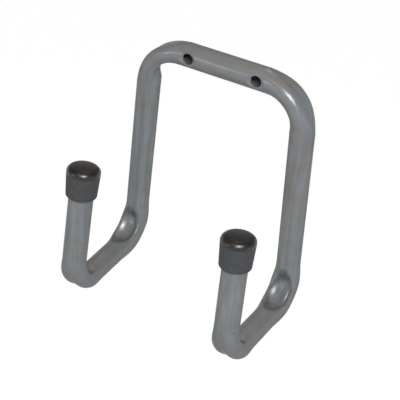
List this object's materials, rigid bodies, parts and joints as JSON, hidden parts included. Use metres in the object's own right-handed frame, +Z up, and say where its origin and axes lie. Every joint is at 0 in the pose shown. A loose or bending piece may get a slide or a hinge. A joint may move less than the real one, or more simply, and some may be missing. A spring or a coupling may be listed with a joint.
{
  "type": "double garage utility hook",
  "caption": "Wall-mounted double utility hook bent from round steel tube, with drilled mounting bar, upturned arms and push-on end caps.",
  "frame": {"origin": "on the wall plane, midway between the two screw holes", "axes": "+Z up, +X along the mounting bar to the viewer's right, +Y into the wall, so the arms reach out along -Y"},
  "size_m": [0.142, 0.0936, 0.1696],
  "materials": {
    "tube_paint": "semi-gloss grey paint on steel tube",
    "cap_plastic": "satin black moulded plastic"
  },
  "bodies": {
    "root": {"bent_tube": "tube_paint", "left_cap": "cap_plastic", "right_cap": "cap_plastic"}
  },
  "joints": []
}
